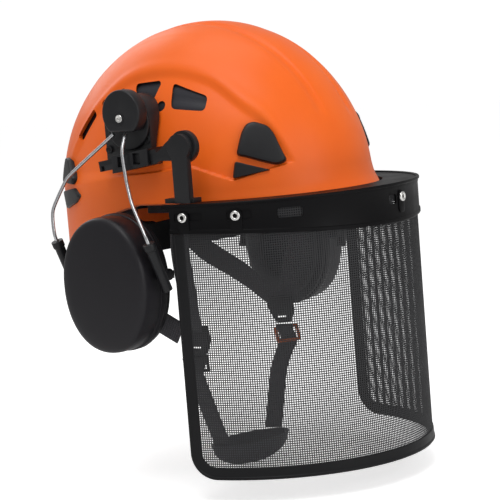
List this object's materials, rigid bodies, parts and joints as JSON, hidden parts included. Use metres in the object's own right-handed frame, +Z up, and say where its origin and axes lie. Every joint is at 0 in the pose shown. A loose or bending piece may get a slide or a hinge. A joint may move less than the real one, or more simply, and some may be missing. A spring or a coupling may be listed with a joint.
{
  "type": "forestry helmet",
  "caption": "Vented safety helmet with a hinged mesh face visor, two ear muffs on sprung wire arms, and a ratchet harness with a chin strap.",
  "frame": {"origin": "centre of the shell's plan, level with the top face of the visor brim", "axes": "+X to the wearer's left, -Y to the front, +Z up"},
  "size_m": [0.2854, 0.3127, 0.3648],
  "materials": {
    "shell_orange": "satin moulded shell",
    "black_plastic": "fine moulded texture",
    "cup_plastic": "smooth satin",
    "steel": "bright drawn wire",
    "visor_mesh": "coated woven mesh",
    "visor_edging": "soft satin",
    "chin_cup_plastic": "soft satin",
    "webbing": "woven",
    "foam": "soft",
    "cushion_skin": "smooth soft skin",
    "buckle_orange": "satin"
  },
  "bodies": {
    "helmet": {"helmet_shell": "shell_orange", "vent_panel_L": "black_plastic", "vent_panel_R": "black_plastic", "front_clip_L": "black_plastic", "front_clip_R": "black_plastic", "rear_clip_L": "black_plastic", "rear_clip_R": "black_plastic", "adapter_L": "black_plastic", "adapter_R": "black_plastic", "hub_base_L": "black_plastic", "hub_base_R": "black_plastic", "headband": "black_plastic", "sweatband": "foam", "nape_housing": "black_plastic", "crown_strap_long": "webbing", "crown_strap_cross": "webbing", "crown_pad": "foam", "strap_front_L": "webbing", "strap_front_R": "webbing", "strap_rear_L": "webbing", "strap_rear_R": "webbing", "strap_divider_L": "black_plastic", "strap_divider_R": "black_plastic", "strap_lower_L": "webbing", "strap_lower_R": "webbing", "chin_buckle": "buckle_orange", "strap_slider": "black_plastic", "chin_cup": "chin_cup_plastic"},
    "visor_arms": {"visor_rail_L": "black_plastic", "visor_rail_R": "black_plastic"},
    "visor": {"visor_brim": "black_plastic", "visor_mesh": "visor_mesh", "visor_trim": "visor_edging", "visor_strip_L": "black_plastic", "visor_strip_R": "black_plastic"},
    "ratchet_knob": {"ratchet_knob": "black_plastic"},
    "nape_rack_L": {"nape_rack_L": "black_plastic"},
    "nape_rack_R": {"nape_rack_R": "black_plastic"},
    "muff_hub_L": {"hub_cap_L": "black_plastic", "hub_screw_L": "steel"},
    "muff_fork_L": {"wire_front_L": "steel", "wire_rear_L": "steel"},
    "muff_sliders_L": {"slider_front_L": "black_plastic", "slider_rear_L": "black_plastic"},
    "muff_cup_L": {"ear_cup_L": "cup_plastic", "cup_ring_L": "black_plastic", "ear_cushion_L": "cushion_skin", "ear_foam_L": "foam"},
    "muff_hub_R": {"hub_cap_R": "black_plastic", "hub_screw_R": "steel"},
    "muff_fork_R": {"wire_front_R": "steel", "wire_rear_R": "steel"},
    "muff_sliders_R": {"slider_front_R": "black_plastic", "slider_rear_R": "black_plastic"},
    "muff_cup_R": {"ear_cup_R": "cup_plastic", "cup_ring_R": "black_plastic", "ear_cushion_R": "cushion_skin", "ear_foam_R": "foam"}
  },
  "joints": [
    {"name": "visor_reach", "type": "slide", "parent": "helmet", "child": "visor_arms", "axis": [0, -0.9903, 0.1392], "range_m": [0, 0.012]},
    {"name": "visor_pivot", "type": "hinge", "parent": "visor_arms", "child": "visor", "pos_m": [0, -0.0554, 0.0406], "axis": [-1, 0, 0], "range_deg": [0, 100]},
    {"name": "ratchet_turn", "type": "hinge", "parent": "helmet", "child": "ratchet_knob", "pos_m": [0, 0.098, -0.049], "axis": [0, 1, 0], "range_deg": [-180, 180]},
    {"name": "rack_slide_R", "type": "slide", "parent": "helmet", "child": "nape_rack_R", "axis": [1, 0, 0], "range_m": [-0.0126, 0.0126]},
    {"name": "rack_slide_L", "type": "slide", "parent": "helmet", "child": "nape_rack_L", "axis": [-1, 0, 0], "range_m": [-0.0126, 0.0126]},
    {"name": "muff_swing_L", "type": "hinge", "parent": "helmet", "child": "muff_hub_L", "pos_m": [0.113, 0.0012, 0.0643], "axis": [1, 0, 0], "range_deg": [0, 75]},
    {"name": "muff_spread_L", "type": "hinge", "parent": "muff_hub_L", "child": "muff_fork_L", "pos_m": [0.1125, 0.0065, 0.0535], "axis": [0, -1, 0], "range_deg": [-2, 25]},
    {"name": "muff_slide_L", "type": "slide", "parent": "muff_fork_L", "child": "muff_sliders_L", "axis": [-0.336, -0.098, -0.9367], "range_m": [-0.002, 0.012]},
    {"name": "muff_tilt_L", "type": "hinge", "parent": "muff_sliders_L", "child": "muff_cup_L", "pos_m": [0.116, 0.0145, -0.056], "axis": [0, 1, 0], "range_deg": [-5, 5]},
    {"name": "muff_swing_R", "type": "hinge", "parent": "helmet", "child": "muff_hub_R", "pos_m": [-0.113, 0.0012, 0.0643], "axis": [1, 0, 0], "range_deg": [0, 75]},
    {"name": "muff_spread_R", "type": "hinge", "parent": "muff_hub_R", "child": "muff_fork_R", "pos_m": [-0.1125, 0.0065, 0.0535], "axis": [0, 1, 0], "range_deg": [-2, 25]},
    {"name": "muff_slide_R", "type": "slide", "parent": "muff_fork_R", "child": "muff_sliders_R", "axis": [0.336, -0.098, -0.9367], "range_m": [-0.002, 0.012]},
    {"name": "muff_tilt_R", "type": "hinge", "parent": "muff_sliders_R", "child": "muff_cup_R", "pos_m": [-0.116, 0.0145, -0.056], "axis": [0, 1, 0], "range_deg": [-5, 5]}
  ],
  "couplings": [
    {"joint": "rack_slide_R", "follows": "ratchet_turn", "m_per_rad": 0.004},
    {"joint": "rack_slide_L", "follows": "ratchet_turn", "m_per_rad": 0.004}
  ]
}
